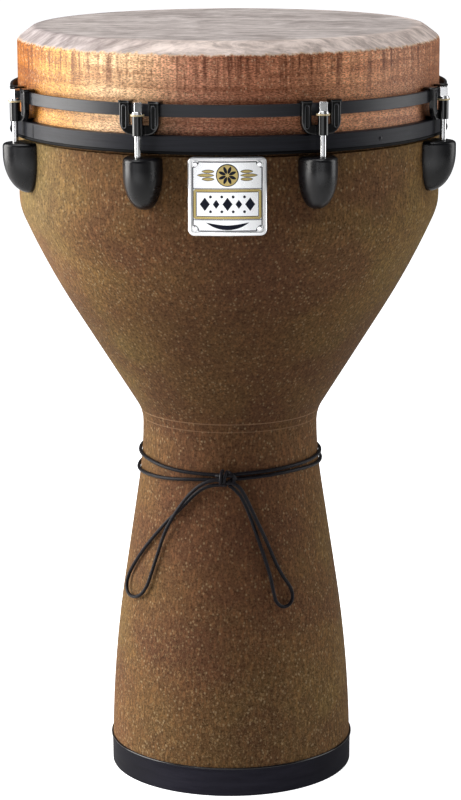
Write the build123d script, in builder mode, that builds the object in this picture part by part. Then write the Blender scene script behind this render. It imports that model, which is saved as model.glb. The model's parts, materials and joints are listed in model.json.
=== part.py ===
from build123d import *
import os
from math import cos, pi, radians, sin, sqrt, tan

# Key-tuned djembe, in millimetres. +Z is up, the origin is the centre of the foot's underside,
# and the badge faces -Y. Azimuths run round from the badge: 0 is the front and 90 is +X.

# --- driving dimensions -------------------------------------------------------------------------

# Shell: one wall that runs up from a flared stem, through a waist, to a straight-sided bowl.
WALL = 6.5
FOOT_R = 103.1
FLARE_Z = 5.5
FLARE_R = 1047.0
CONE_ANGLE = 8.66
WAIST_R = 73.9
WAIST_Z = 302.0
THROAT_R = 337.0
NECK_R = 34.0
FLANK_ANGLE = 31.9
BOWL_R = 648.0
SHOULDER_ANGLE = 23.9
SHOULDER_R = 45.4
SHELL_R = 175.1
SHOULDER_CUT_Z = 548.9
SHOULDER_CUT_RISE = 0.6
RIM_R = 172.5

# The stem's spigot laps inside the bowl's lower end.
SEAM_Z = 312.0
SPIGOT_TOP = 317.0
SPIGOT_R = 71.5
GLUE_GAP = 0.05

# Drumhead: a stiff film, flat on top, that slopes down over the bearing edge into a collar.
HEAD_TOP = 637.4
FILM = 0.5
FLAT_R = 158.4
CROWN_R = 8.0
HEAD_SLOPE = 37.0
HEAD_CORNER_R = 6.0
COLLAR_R = 174.6
SKIRT_BOTTOM = 560.0
FILM_GAP = 0.05

# Flesh hoop: the channel that grips the collar's lower end.
FLESH_TOP = 566.1
FLESH_BOTTOM = 551.9
FLESH_R = 181.0
FLESH_BORE_R = 173.0
CHANNEL_INNER_R = 173.8
CHANNEL_OUTER_R = 174.9
CHANNEL_FLOOR = 1.3
FLESH_EDGE_R = 0.8

# Tension hoop: the flat steel band that the brackets clip over.
BAND_R = 181.0
BAND_BORE_R = 178.5
BAND_BOTTOM = 580.6
BAND_TOP = 590.4
BAND_EDGE_R = 0.5

# Eight lugs, half a step away from the front, and a shade round from the badge.
LUG_COUNT = 8
LUG_STEP = 360.0 / LUG_COUNT
LUG_TURN = 0.4
LUG_ANGLES = [-90.0 - LUG_STEP / 2 + LUG_TURN + LUG_STEP * i for i in range(LUG_COUNT)]

# Brackets
CLEAR = 0.1
BRACKET_HALF_WIDTH = 16.5
BRACKET_GAP_HALF_WIDTH = 8.3
BRACKET_FRONT_R = 184.8
BRACKET_BACK_R = 176.0
BRACKET_TOP = 592.2
BRACKET_WEB_TOP = 574.0
BRACKET_CORNER_R = 10.5
BRACKET_LIP = 2.2
BRACKET_LIP_DROP = 5.0
BRACKET_FOOT = 3.2
BRACKET_EDGE_R = 0.9
BRACKET_SLOT = (2.4, 17.0, 1.6)
BRACKET_SLOT_LIFT = 0.6
TUBE_R = 4.25
TUBE_TOP = 581.4
TUBE_BORE_R = 3.1

# Tension rods, on one circle, with drum-key heads.
ROD_CIRCLE_R = 187.0
ROD_SHANK_R = 2.45
ROD_THREAD_R = 2.75
ROD_BOTTOM = 526.0
ROD_THREAD_TOP = 545.0
ROD_TIP_CHAMFER = 0.8
THREAD_RUNOUT = 0.3
KEY_SQUARE = 6.35
KEY_TOP = 592.2
KEY_TURN = 37.0
KEY_EDGE_R = 0.6
KEY_TIP_CHAMFER = 0.5
FLANGE_R = 4.3
FLANGE_T = 1.3
FLANGE_EDGE = (0.5, 0.4)
NYLON_WASHER_R = 5.4
NYLON_WASHER_T = 1.3
NYLON_EDGE_R = 0.4
STEEL_WASHER_R = 4.7
STEEL_WASHER_T = 0.8
WASHER_BORE_R = 3.0

# Lug casings: egg-shaped hollow housings that hold a swivel nut each.
LUG_TOP = 548.8
LUG_BELLY_Z = 540.0
LUG_DROP = 33.0
LUG_DEPTH = 22.6
LUG_HALF_WIDTH = 15.3
LUG_WALL = 2.4
LUG_ROUND = 2.3
LUG_SECTIONS = (0.0, 0.25, 0.5, 0.7, 0.85, 0.94, 0.985)
LUG_TOP_FILLET = 3.0
LUG_ROD_HOLE_R = 3.3
LUG_SCREW_Z = (537.5, 517.0)
BOSS_R = 4.0
BOSS_END_R = (182.2, 190.0)
RIB_Y = 8.5
RIB_T = 2.0
NUT_R = 4.0
NUT_TOP = 542.0
NUT_BOTTOM = 528.0
TRUNNION_R = 2.5
TRUNNION_HALF_LENGTH = 10.0
TRUNNION_Z = 535.0
RUNNING_GAP = 0.1

# Screws that hold each lug from inside the shell.
SCREW_R = 2.0
SCREW_HEAD_R = 4.0
SCREW_HEAD_T = 2.6
SCREW_HEAD_EDGE_R = 1.2
SCREW_RECESS = (4.4, 1.1, 1.4)
SCREW_BITE = 6.0
SCREW_END_ROOM = 0.5
SCREW_HOLE_R = 2.4
LOCK_WASHER_R = 5.5
LOCK_WASHER_T = 1.0
WASHER_SAG = 0.15

# Rubber foot: a channel pressed over the stem's rebated lower end.
FOOT_RING_TOP = 24.9
FOOT_RING_R = 103.6
FOOT_LIP_R = 104.4
FOOT_LIP_H = 2.4
FOOT_RING_INNER_R = 94.4
FOOT_RING_INNER_H = 14.0
FOOT_FLOOR = 4.0
FOOT_TAPER = 0.2
FOOT_LIP_EDGE_R = 0.6
FOOT_BOTTOM_EDGE_R = 0.8
REBATE_R = 100.4
FOOT_GAP = 0.1

# Badge, bent to the bowl a little left of the front, with a nail in each corner.
BADGE_WIDTH = 61.0
BADGE_HEIGHT = 61.4
BADGE_BOTTOM = 488.2
BADGE_X = -1.2
BADGE_T = 1.0
BADGE_CORNER_R = 4.5
NAIL_INSET = 5.6
NAIL_R = 0.9
NAIL_HEAD_R = 2.1
NAIL_HEAD_T = 0.9
NAIL_HEAD_EDGE_R = 0.6
NAIL_LENGTH = 5.0

# Waist cord: one closed loop of braid, doubled, passed once round the waist and tied in front.
CORD_D = 3.0
LIFT = 2.9
KNOT_SIZE = (17.0, 9.0, 12.5)
KNOT_AZIMUTH = -2.6
KNOT_Z = 270.2
KNOT_ROUND = 3.5
KNOT_LIFT = 1.6

# Routes are (azimuth in degrees, height, distance of the cord's centre from the shell's skin).
# The straight runs between the points come nearer to the skin than the points do, so LIFT allows for it.
WAIST_UPPER = [
    (-5, 271.8, LIFT), (-22, 271.9, LIFT), (-42, 273.0, LIFT), (-62, 275.6, LIFT), (-82, 276.6, LIFT),
    (-102, 277.6, LIFT), (-122, 278.6, LIFT), (-142, 279.4, LIFT), (-162, 279.7, LIFT), (-182, 279.3, LIFT),
    (-202, 278.6, LIFT), (-222, 277.6, LIFT), (-242, 276.4, LIFT), (-262, 275.6, LIFT), (-282, 275.7, LIFT),
    (-302, 275.2, LIFT), (-322, 274.6, LIFT), (-342, 273.4, LIFT), (-360, 272.2, LIFT),
]
WAIST_LOWER = [
    (-5, 268.0, LIFT), (-22, 267.2, LIFT), (-42, 264.2, LIFT), (-62, 263.2, LIFT), (-82, 261.6, LIFT),
    (-102, 262.2, LIFT), (-122, 263.6, LIFT), (-142, 265.6, LIFT), (-162, 267.2, LIFT), (-182, 268.6, LIFT),
    (-202, 269.2, LIFT), (-222, 269.0, LIFT), (-242, 268.8, LIFT), (-262, 269.4, LIFT), (-282, 268.6, LIFT),
    (-302, 270.2, LIFT), (-322, 270.6, LIFT), (-342, 269.4, LIFT), (-360, 268.3, LIFT),
]
LOOP_LEFT = [
    (-2.0, 264.6, 6.6), (-8.5, 264.4, 4.8), (-15.0, 261.6, 3.4), (-21.3, 255.4, 2.7), (-27.0, 246.8, 2.5),
    (-32.0, 239.2, 2.5), (-37.8, 231.5, 2.5), (-44.6, 220.5, 2.5), (-51.0, 210.0, 2.5), (-57.6, 198.5, 2.6),
    (-63.6, 187.0, 2.8), (-68.8, 176.0, 3.1), (-70.6, 167.6, 3.4), (-68.8, 161.0, 3.6), (-63.8, 158.0, 3.7),
    (-57.6, 159.2, 3.7), (-52.2, 164.0, 3.5), (-48.8, 173.0, 3.2), (-46.6, 186.0, 2.8), (-43.9, 200.5, 2.8),
    (-40.8, 214.5, 3.8), (-37.2, 226.0, 5.4), (-33.0, 236.5, 6.4), (-28.6, 246.5, 6.8), (-23.2, 256.6, 7.0),
    (-17.0, 264.6, 7.4), (-10.5, 268.8, 7.8), (-3.5, 269.8, 8.0),
]
LOOP_RIGHT = [
    (-1.5, 268.2, 8.0), (4.2, 265.2, 7.6), (8.2, 256.5, 6.8), (11.4, 245.5, 6.0), (15.0, 233.5, 5.2),
    (19.3, 219.5, 3.8), (23.0, 205.5, 2.8), (26.0, 193.5, 2.6), (29.4, 183.6, 2.8), (32.8, 175.4, 3.1),
    (33.8, 167.6, 3.4), (31.6, 161.0, 3.6), (26.8, 159.6, 3.7), (23.4, 165.0, 3.5), (22.6, 174.0, 3.2),
    (21.6, 185.5, 2.8), (19.6, 198.5, 2.5), (17.0, 211.5, 2.5), (14.3, 224.5, 2.5), (11.4, 237.5, 2.5),
    (8.2, 249.5, 2.6), (4.2, 258.8, 3.4), (-0.8, 264.2, 5.4),
]

# --- derived sizes ------------------------------------------------------------------------------

cone_top = (
    WAIST_R + THROAT_R * (1 - cos(radians(CONE_ANGLE))),
    WAIST_Z - THROAT_R * sin(radians(CONE_ANGLE)),
)
flank_run = (
    SHELL_R
    - WAIST_R
    - NECK_R * (1 - cos(radians(FLANK_ANGLE)))
    - BOWL_R * (cos(radians(SHOULDER_ANGLE)) - cos(radians(FLANK_ANGLE)))
    - SHOULDER_R * (1 - cos(radians(SHOULDER_ANGLE)))
)
flank_length = flank_run / sin(radians(FLANK_ANGLE))
inner_r = SHELL_R - WALL
film_seat = FILM + FILM_GAP
crown_end = (
    FLAT_R + (CROWN_R - film_seat) * sin(radians(HEAD_SLOPE)),
    HEAD_TOP - film_seat - (CROWN_R - film_seat) * (1 - cos(radians(HEAD_SLOPE))),
)
rim_corner = (RIM_R, crown_end[1] - (RIM_R - crown_end[0]) * tan(radians(HEAD_SLOPE)))
slope_length = (
    COLLAR_R
    - FLAT_R
    - CROWN_R * sin(radians(HEAD_SLOPE))
    - HEAD_CORNER_R * (1 - sin(radians(HEAD_SLOPE)))
) / cos(radians(HEAD_SLOPE))
nylon_top = TUBE_TOP + NYLON_WASHER_T
stack_top = nylon_top + STEEL_WASHER_T
washer_seat = inner_r - WASHER_SAG
head_seat = washer_seat - LOCK_WASHER_T
badge_z = BADGE_BOTTOM + BADGE_HEIGHT / 2
ABOVE = 700.0
OUTSIDE = 220.0

os.makedirs("parts", exist_ok=True)


def save(shape, name):
    """Labels a finished piece and writes it as its own STEP file."""
    shape.label = name
    export_step(shape, f"parts/{name}.step")


def save_group(shapes, name):
    """Writes identical pieces as one node of separate solids."""
    save(Compound(children=shapes), name)


def round_the_lugs(shape):
    """The eight copies of a piece made at azimuth +X, one at each lug."""
    return [shape.rotate(Axis.Z, angle) for angle in LUG_ANGLES]


def ring(outer, inner, bottom, top):
    """A plain ring about +Z."""
    with BuildPart() as made:
        with BuildSketch(Plane.XY.offset(bottom)):
            Circle(outer)
            Circle(inner, mode=Mode.SUBTRACT)
        extrude(amount=top - bottom)
    return made.part


def upright(radius, bottom, top):
    """A cylinder along the rod's axis, at azimuth +X."""
    with BuildPart() as made:
        with BuildSketch(Plane.XY.offset(bottom)):
            with Locations((ROD_CIRCLE_R, 0)):
                Circle(radius)
        extrude(amount=top - bottom)
    return made.part


def radial(radius, start, end, height):
    """A cylinder along +X between two distances from the axis, at a height."""
    with BuildPart() as made:
        with BuildSketch(Plane.YZ.offset(start)):
            with Locations((0, height)):
                Circle(radius)
        extrude(amount=end - start)
    return made.part


def turned(outline):
    """A closed outline of (radius, height) points, turned about +Z."""
    with BuildPart() as made:
        with BuildSketch(Plane.XZ):
            with BuildLine():
                Polyline(*outline, close=True)
            make_face()
        revolve(axis=Axis.Z)
    return made.part


def shell_wall():
    """The whole wall of the shell, before it is divided into stem and bowl."""
    with BuildPart() as made:
        with BuildSketch(Plane.XZ):
            with BuildLine():
                foot = Line((FOOT_R, FOOT_FLOOR + FOOT_GAP), (FOOT_R, FLARE_Z))
                flare = JernArc(foot @ 1, foot % 1, FLARE_R, CONE_ANGLE)
                cone = Line(flare @ 1, cone_top)
                throat = JernArc(cone @ 1, cone % 1, THROAT_R, -CONE_ANGLE)
                neck = JernArc(throat @ 1, throat % 1, NECK_R, -FLANK_ANGLE)
                flank = PolarLine(neck @ 1, flank_length, direction=neck % 1)
                bowl = JernArc(flank @ 1, flank % 1, BOWL_R, FLANK_ANGLE - SHOULDER_ANGLE)
                shoulder = JernArc(bowl @ 1, bowl % 1, SHOULDER_R, SHOULDER_ANGLE)
                Polyline(
                    shoulder @ 1,
                    (SHELL_R, SHOULDER_CUT_Z),
                    (RIM_R, SHOULDER_CUT_Z + SHOULDER_CUT_RISE),
                    rim_corner,
                    crown_end,
                )
                inward = (-cos(radians(HEAD_SLOPE)), sin(radians(HEAD_SLOPE)))
                JernArc(crown_end, inward, CROWN_R - film_seat, HEAD_SLOPE)
                offset(amount=WALL, side=Side.LEFT)
            make_face()
        revolve(axis=Axis.Z)
    return made.part


def nail_spots():
    """The badge's four nails, as distances across and up from the origin."""
    across = BADGE_WIDTH / 2 - NAIL_INSET
    up = BADGE_HEIGHT / 2 - NAIL_INSET
    return [(BADGE_X + x, badge_z + z) for x in (-across, across) for z in (-up, up)]


# --- shell --------------------------------------------------------------------------------------

wall = shell_wall()
stem_room = turned([
    (0, 0),
    (REBATE_R, 0),
    (REBATE_R, FOOT_RING_TOP + FOOT_GAP),
    (OUTSIDE, FOOT_RING_TOP + FOOT_GAP),
    (OUTSIDE, SEAM_Z),
    (SPIGOT_R - GLUE_GAP, SEAM_Z),
    (SPIGOT_R - GLUE_GAP, SPIGOT_TOP),
    (0, SPIGOT_TOP),
])
bowl_room = turned([
    (SPIGOT_R, SEAM_Z + GLUE_GAP),
    (OUTSIDE, SEAM_Z + GLUE_GAP),
    (OUTSIDE, ABOVE),
    (0, ABOVE),
    (0, SPIGOT_TOP + GLUE_GAP),
    (SPIGOT_R, SPIGOT_TOP + GLUE_GAP),
])

with BuildPart() as stem:
    add(wall)
    add(stem_room, mode=Mode.INTERSECT)
save(stem.part, "shell_stem")

with BuildPart() as bowl_shell:
    add(wall)
    add(bowl_room, mode=Mode.INTERSECT)
    for angle in LUG_ANGLES:
        outward = (cos(radians(angle)), sin(radians(angle)), 0)
        for height in LUG_SCREW_Z:
            with BuildSketch(Plane(origin=(0, 0, height), z_dir=outward)):
                Circle(SCREW_HOLE_R)
            extrude(amount=OUTSIDE, mode=Mode.SUBTRACT)
    with BuildSketch(Plane.XZ.offset(inner_r)):
        with Locations(*nail_spots()):
            Circle(NAIL_R)
    extrude(amount=2 * WALL, mode=Mode.SUBTRACT)
save(bowl_shell.part, "shell_bowl")

# --- drumhead and its hoop ----------------------------------------------------------------------

with BuildPart() as drumhead:
    with BuildSketch(Plane.XZ):
        with BuildLine():
            flat = Line((0, HEAD_TOP), (FLAT_R, HEAD_TOP))
            crown = JernArc(flat @ 1, flat % 1, CROWN_R, -HEAD_SLOPE)
            slope = PolarLine(crown @ 1, slope_length, direction=crown % 1)
            corner = JernArc(slope @ 1, slope % 1, HEAD_CORNER_R, HEAD_SLOPE - 90)
            Line(corner @ 1, (COLLAR_R, SKIRT_BOTTOM))
            offset(amount=FILM, side=Side.RIGHT)
        make_face()
    revolve(axis=Axis.Z)
save(drumhead.part, "drumhead")

with BuildPart() as flesh_hoop:
    add(ring(FLESH_R, FLESH_BORE_R, FLESH_BOTTOM, FLESH_TOP))
    outer_circles = flesh_hoop.edges().filter_by(GeomType.CIRCLE).group_by(SortBy.RADIUS)[-1]
    fillet(outer_circles, radius=FLESH_EDGE_R)
    add(ring(CHANNEL_OUTER_R, CHANNEL_INNER_R, FLESH_BOTTOM + CHANNEL_FLOOR, FLESH_TOP), mode=Mode.SUBTRACT)
save(flesh_hoop.part, "flesh_hoop")

# --- tension hoop and brackets ------------------------------------------------------------------

with BuildPart() as tension_hoop:
    add(ring(BAND_R, BAND_BORE_R, BAND_BOTTOM, BAND_TOP))
    fillet(tension_hoop.edges().filter_by(GeomType.CIRCLE), radius=BAND_EDGE_R)
save(tension_hoop.part, "tension_hoop")

bracket_bottom = FLESH_TOP + CLEAR / 2
pocket_top = BAND_TOP + CLEAR / 2
lip_bottom = pocket_top - BRACKET_LIP_DROP
inside_r = BRACKET_BACK_R - 2 * BRACKET_CORNER_R
with BuildPart() as bracket:
    with BuildSketch(Plane.YZ.offset(BRACKET_BACK_R - BRACKET_LIP)):
        with BuildLine():
            Polyline(
                (-BRACKET_HALF_WIDTH, BRACKET_TOP),
                (-BRACKET_HALF_WIDTH, bracket_bottom),
                (BRACKET_HALF_WIDTH, bracket_bottom),
                (BRACKET_HALF_WIDTH, BRACKET_TOP),
                (BRACKET_GAP_HALF_WIDTH, BRACKET_TOP),
                (BRACKET_GAP_HALF_WIDTH, BRACKET_WEB_TOP),
                (-BRACKET_GAP_HALF_WIDTH, BRACKET_WEB_TOP),
                (-BRACKET_GAP_HALF_WIDTH, BRACKET_TOP),
                close=True,
            )
        outline = make_face()
        fillet(outline.vertices().group_by(Axis.Y)[0], radius=BRACKET_CORNER_R)
    extrude(amount=BRACKET_FRONT_R - BRACKET_BACK_R + BRACKET_LIP)
    fillet(bracket.faces().sort_by(Axis.X)[-1].edges(), radius=BRACKET_EDGE_R)
    # A plate before the band, with hooks over it, lips down behind it and a foot on the lower hoop.
    foot_top = bracket_bottom + BRACKET_FOOT
    add(ring(BAND_R + CLEAR, inside_r, foot_top, lip_bottom), mode=Mode.SUBTRACT)
    add(ring(BAND_R + CLEAR, BRACKET_BACK_R + BRACKET_LIP, lip_bottom, pocket_top), mode=Mode.SUBTRACT)
    # The back, bent to run just outside the collar.
    add(ring(BRACKET_BACK_R, inside_r, bracket_bottom - 1, BRACKET_TOP + 1), mode=Mode.SUBTRACT)
    # One slot down the front of each fork.
    slot_width, slot_length, slot_depth = BRACKET_SLOT
    with BuildSketch(Plane.YZ.offset(BRACKET_FRONT_R - slot_depth)):
        fork_y = (BRACKET_HALF_WIDTH + BRACKET_GAP_HALF_WIDTH) / 2
        slot_z = (BRACKET_TOP + bracket_bottom) / 2 + BRACKET_SLOT_LIFT
        with Locations((fork_y, slot_z), (-fork_y, slot_z)):
            SlotOverall(slot_length, slot_width, rotation=90)
    extrude(amount=slot_depth + 1, mode=Mode.SUBTRACT)
    # The tube that the rod passes through.
    add(upright(TUBE_R, bracket_bottom, TUBE_TOP))
    add(upright(TUBE_BORE_R, bracket_bottom, TUBE_TOP), mode=Mode.SUBTRACT)
for number, piece in enumerate(round_the_lugs(bracket.part), 1):
    save(piece, f"bracket_{number}")

# --- tension rods and washers -------------------------------------------------------------------

under_head = stack_top + CLEAR / 2
with BuildPart() as rod:
    with BuildSketch(Plane.XZ):
        with BuildLine():
            Polyline(
                (0, ROD_BOTTOM),
                (ROD_THREAD_R - ROD_TIP_CHAMFER, ROD_BOTTOM),
                (ROD_THREAD_R, ROD_BOTTOM + ROD_TIP_CHAMFER),
                (ROD_THREAD_R, ROD_THREAD_TOP - THREAD_RUNOUT),
                (ROD_SHANK_R, ROD_THREAD_TOP),
                (ROD_SHANK_R, under_head),
                (FLANGE_R, under_head),
                (FLANGE_R, under_head + FLANGE_T - FLANGE_EDGE[1]),
                (FLANGE_R - FLANGE_EDGE[0], under_head + FLANGE_T),
                (0, under_head + FLANGE_T),
                close=True,
            )
        make_face()
    revolve(axis=Axis.Z)
    with BuildSketch(Plane.XY.offset(under_head + FLANGE_T)):
        RectangleRounded(KEY_SQUARE, KEY_SQUARE, KEY_EDGE_R)
    extrude(amount=KEY_TOP - under_head - FLANGE_T)
    chamfer(rod.edges().group_by(Axis.Z)[-1], length=KEY_TIP_CHAMFER)
for number, angle in enumerate(LUG_ANGLES, 1):
    screwed = rod.part.rotate(Axis.Z, KEY_TURN * number)
    save(screwed.translate((ROD_CIRCLE_R, 0, 0)).rotate(Axis.Z, angle), f"tension_rod_{number}")

with BuildPart() as nylon_washer:
    add(upright(NYLON_WASHER_R, TUBE_TOP + CLEAR / 2, nylon_top))
    fillet(nylon_washer.edges().group_by(Axis.Z)[-1], radius=NYLON_EDGE_R)
    add(upright(WASHER_BORE_R, TUBE_TOP, nylon_top), mode=Mode.SUBTRACT)
save_group(round_the_lugs(nylon_washer.part), "nylon_washers")

with BuildPart() as steel_washer:
    add(upright(STEEL_WASHER_R, nylon_top + CLEAR / 2, stack_top))
    add(upright(WASHER_BORE_R, nylon_top, stack_top), mode=Mode.SUBTRACT)
save_group(round_the_lugs(steel_washer.part), "steel_washers")

# --- lugs ---------------------------------------------------------------------------------------


def egg(inset):
    """The lug's outer form, or its cavity when inset by the wall: a half egg with a flat top."""
    depth, half_width, drop = LUG_DEPTH - inset, LUG_HALF_WIDTH - inset, LUG_DROP - inset
    with BuildPart() as made:
        for share in LUG_SECTIONS:
            reach = depth * sqrt(1 - share**2)
            spread = half_width * (1 - share**LUG_ROUND) ** (1 / LUG_ROUND)
            with BuildSketch(Plane.XY.offset(LUG_BELLY_Z - share * drop)):
                with Locations((SHELL_R, 0)):
                    Ellipse(reach, spread)
        loft()
        with BuildSketch(Plane.XY.offset(LUG_BELLY_Z)):
            with Locations((SHELL_R, 0)):
                Ellipse(depth, half_width)
        extrude(amount=LUG_TOP - inset - LUG_BELLY_Z)
    return made.part


cavity_form = egg(LUG_WALL)
with BuildPart() as cavity:
    add(cavity_form)
    for height, end in zip(LUG_SCREW_Z, BOSS_END_R):
        add(radial(BOSS_R, SHELL_R - 5, end, height), mode=Mode.SUBTRACT)
    with BuildSketch(Plane.XY.offset(LUG_BELLY_Z - LUG_DROP)):
        with Locations((SHELL_R + LUG_DEPTH / 2, RIB_Y), (SHELL_R + LUG_DEPTH / 2, -RIB_Y)):
            Rectangle(2 * LUG_DEPTH, RIB_T)
    extrude(amount=2 * LUG_DROP, mode=Mode.SUBTRACT)
    # A web hangs the upper boss from the casing's top.
    with BuildSketch(Plane.XY.offset(LUG_SCREW_Z[0])):
        with Locations((SHELL_R, 0)):
            Rectangle(2 * (BOSS_END_R[0] - SHELL_R), RIB_T)
    extrude(amount=LUG_DROP, mode=Mode.SUBTRACT)


def trunnion(radius, half_length):
    """The nut's cross pin, tangent to the lug."""
    with BuildPart() as made:
        with BuildSketch(Plane.XZ.offset(-half_length)):
            with Locations((ROD_CIRCLE_R, TRUNNION_Z)):
                Circle(radius)
        extrude(amount=2 * half_length)
    return made.part


casing_form = egg(0)
with BuildPart() as casing:
    add(casing_form)
    fillet(casing.edges().group_by(Axis.Z)[-1], radius=LUG_TOP_FILLET)
    add(cavity.part, mode=Mode.SUBTRACT)
    with BuildSketch(Plane.XY.offset(LUG_BELLY_Z - 2 * LUG_DROP)):
        Circle(SHELL_R + GLUE_GAP)
    extrude(amount=4 * LUG_DROP, mode=Mode.SUBTRACT)
    add(upright(LUG_ROD_HOLE_R, LUG_BELLY_Z, LUG_TOP), mode=Mode.SUBTRACT)
    for height in LUG_SCREW_Z:
        hole_end = SHELL_R + SCREW_BITE + SCREW_END_ROOM
        add(radial(SCREW_R + RUNNING_GAP, SHELL_R, hole_end, height), mode=Mode.SUBTRACT)
    add(trunnion(TRUNNION_R + RUNNING_GAP, TRUNNION_HALF_LENGTH), mode=Mode.SUBTRACT)
for number, piece in enumerate(round_the_lugs(casing.part), 1):
    save(piece, f"lug_casing_{number}")

with BuildPart() as swivel_nut:
    add(upright(NUT_R, NUT_BOTTOM, NUT_TOP))
    add(trunnion(TRUNNION_R, TRUNNION_HALF_LENGTH - RUNNING_GAP))
    add(upright(ROD_THREAD_R + RUNNING_GAP, NUT_BOTTOM, NUT_TOP), mode=Mode.SUBTRACT)
save_group(round_the_lugs(swivel_nut.part), "swivel_nuts")

recess_length, recess_width, recess_depth = SCREW_RECESS
lug_screws = []
lock_washers = []
for height in LUG_SCREW_Z:
    with BuildPart() as screw:
        add(radial(SCREW_HEAD_R, head_seat - SCREW_HEAD_T, head_seat, height))
        fillet(screw.edges().group_by(Axis.X)[0], radius=SCREW_HEAD_EDGE_R)
        add(radial(SCREW_R, head_seat, SHELL_R + SCREW_BITE, height))
        with BuildSketch(Plane.YZ.offset(head_seat - SCREW_HEAD_T)):
            with Locations((0, height)):
                Rectangle(recess_length, recess_width)
                Rectangle(recess_width, recess_length)
        extrude(amount=recess_depth, mode=Mode.SUBTRACT)
    lug_screws += round_the_lugs(screw.part)
    with BuildPart() as lock_washer:
        add(radial(LOCK_WASHER_R, head_seat + CLEAR / 2, washer_seat, height))
        add(radial(SCREW_R + RUNNING_GAP, head_seat, SHELL_R, height), mode=Mode.SUBTRACT)
    lock_washers += round_the_lugs(lock_washer.part)
save_group(lug_screws, "lug_screws")
save_group(lock_washers, "lug_screw_washers")

# --- foot ring ----------------------------------------------------------------------------------

foot_profile = turned([
    (FOOT_RING_INNER_R, 0),
    (FOOT_RING_R - FOOT_TAPER, 0),
    (FOOT_RING_R, FOOT_RING_TOP - FOOT_LIP_H),
    (FOOT_LIP_R, FOOT_RING_TOP - FOOT_LIP_H),
    (FOOT_LIP_R, FOOT_RING_TOP),
    (REBATE_R + FOOT_GAP, FOOT_RING_TOP),
    (REBATE_R + FOOT_GAP, FOOT_FLOOR),
    (FOOT_R - WALL - FOOT_GAP, FOOT_FLOOR),
    (FOOT_R - WALL - FOOT_GAP, FOOT_RING_INNER_H),
    (FOOT_RING_INNER_R, FOOT_RING_INNER_H),
])
with BuildPart() as foot_ring:
    add(foot_profile)
    circles = foot_ring.edges().filter_by(GeomType.CIRCLE).sort_by(SortBy.RADIUS)
    fillet(circles[-2:], radius=FOOT_LIP_EDGE_R)
    bottom_circles = foot_ring.edges().filter_by(GeomType.CIRCLE).group_by(Axis.Z)[0]
    fillet(bottom_circles.sort_by(SortBy.RADIUS)[-1], radius=FOOT_BOTTOM_EDGE_R)
save(foot_ring.part, "foot_ring")

# --- badge --------------------------------------------------------------------------------------

badge_back_r = SHELL_R + GLUE_GAP
badge_face_r = badge_back_r + BADGE_T
badge_bend = ring(badge_face_r, badge_back_r, BADGE_BOTTOM - 1, BADGE_BOTTOM + BADGE_HEIGHT + 1)
with BuildPart() as badge:
    with BuildSketch(Plane.XZ.offset(inner_r)):
        with Locations((BADGE_X, badge_z)):
            RectangleRounded(BADGE_WIDTH, BADGE_HEIGHT, BADGE_CORNER_R)
        with Locations(*nail_spots()):
            Circle(NAIL_R, mode=Mode.SUBTRACT)
    extrude(amount=2 * WALL)
    add(badge_bend, mode=Mode.INTERSECT)
save(badge.part, "badge_plate")

nails = []
for x, z in nail_spots():
    face = sqrt(badge_face_r**2 - (abs(x) - NAIL_HEAD_R) ** 2)
    with BuildPart() as nail:
        with BuildSketch(Plane.XZ.offset(face)):
            with Locations((x, z)):
                Circle(NAIL_HEAD_R)
        extrude(amount=NAIL_HEAD_T)
        fillet(nail.edges().group_by(Axis.Y)[0], radius=NAIL_HEAD_EDGE_R)
        with BuildSketch(Plane.XZ.offset(face - NAIL_LENGTH)):
            with Locations((x, z)):
                Circle(NAIL_R - CLEAR / 2)
        extrude(amount=NAIL_LENGTH)
    nails.append(nail.part)
save_group(nails, "badge_nails")

# --- waist cord ---------------------------------------------------------------------------------


def skin_radius(height):
    """Outside radius of the shell between the stem's flare and the waist."""
    if height > cone_top[1]:
        return WAIST_R + THROAT_R - sqrt(THROAT_R**2 - (WAIST_Z - height) ** 2)
    return cone_top[0] + (cone_top[1] - height) * tan(radians(CONE_ANGLE))


def on_shell(azimuth, height, lift):
    """A point that far off the shell's skin."""
    radius = skin_radius(height) + lift
    return Vector(radius * sin(radians(azimuth)), -radius * cos(radians(azimuth)), height)


def cord(route, name):
    """A plain tube along a route, straight runs joined by tangent arcs."""
    points = [on_shell(*place) for place in route]
    radii = []
    for before, here, after in zip(points, points[1:], points[2:]):
        run_in, run_out = here - before, after - here
        half_turn = radians(run_in.get_angle(run_out)) / 2
        radii.append(0.45 * min(run_in.length, run_out.length) / tan(half_turn))
    with BuildPart() as tube:
        with BuildLine():
            route_line = FilletPolyline(*points, radius=radii)
        with BuildSketch(Plane(origin=route_line @ 0, z_dir=route_line % 0)):
            Circle(CORD_D / 2)
        sweep()
    section = pi * CORD_D**2 / 4
    length = route_line.length
    print(name, "length", round(length, 1), "volume share", round(tube.part.volume / (section * length), 4))
    print(name, "least radius", round(min(radii), 1), "radii", [round(r, 1) for r in radii])
    save(tube.part, name)


cord(WAIST_UPPER, "waist_cord_upper")
cord(WAIST_LOWER, "waist_cord_lower")
cord(LOOP_LEFT, "cord_loop_left")
cord(LOOP_RIGHT, "cord_loop_right")

with BuildPart() as knot:
    centre = on_shell(KNOT_AZIMUTH, KNOT_Z, KNOT_SIZE[1] / 2 + KNOT_LIFT)
    with Locations(Location(tuple(centre), (0, 0, KNOT_AZIMUTH))):
        Box(*KNOT_SIZE)
    fillet(knot.edges(), radius=KNOT_ROUND)
save(knot.part, "cord_knot")
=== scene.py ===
import json
from math import cos, pi, radians, sin, sqrt, tan

import bmesh
import bpy
import numpy as np
from mathutils import Matrix, Vector


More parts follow.
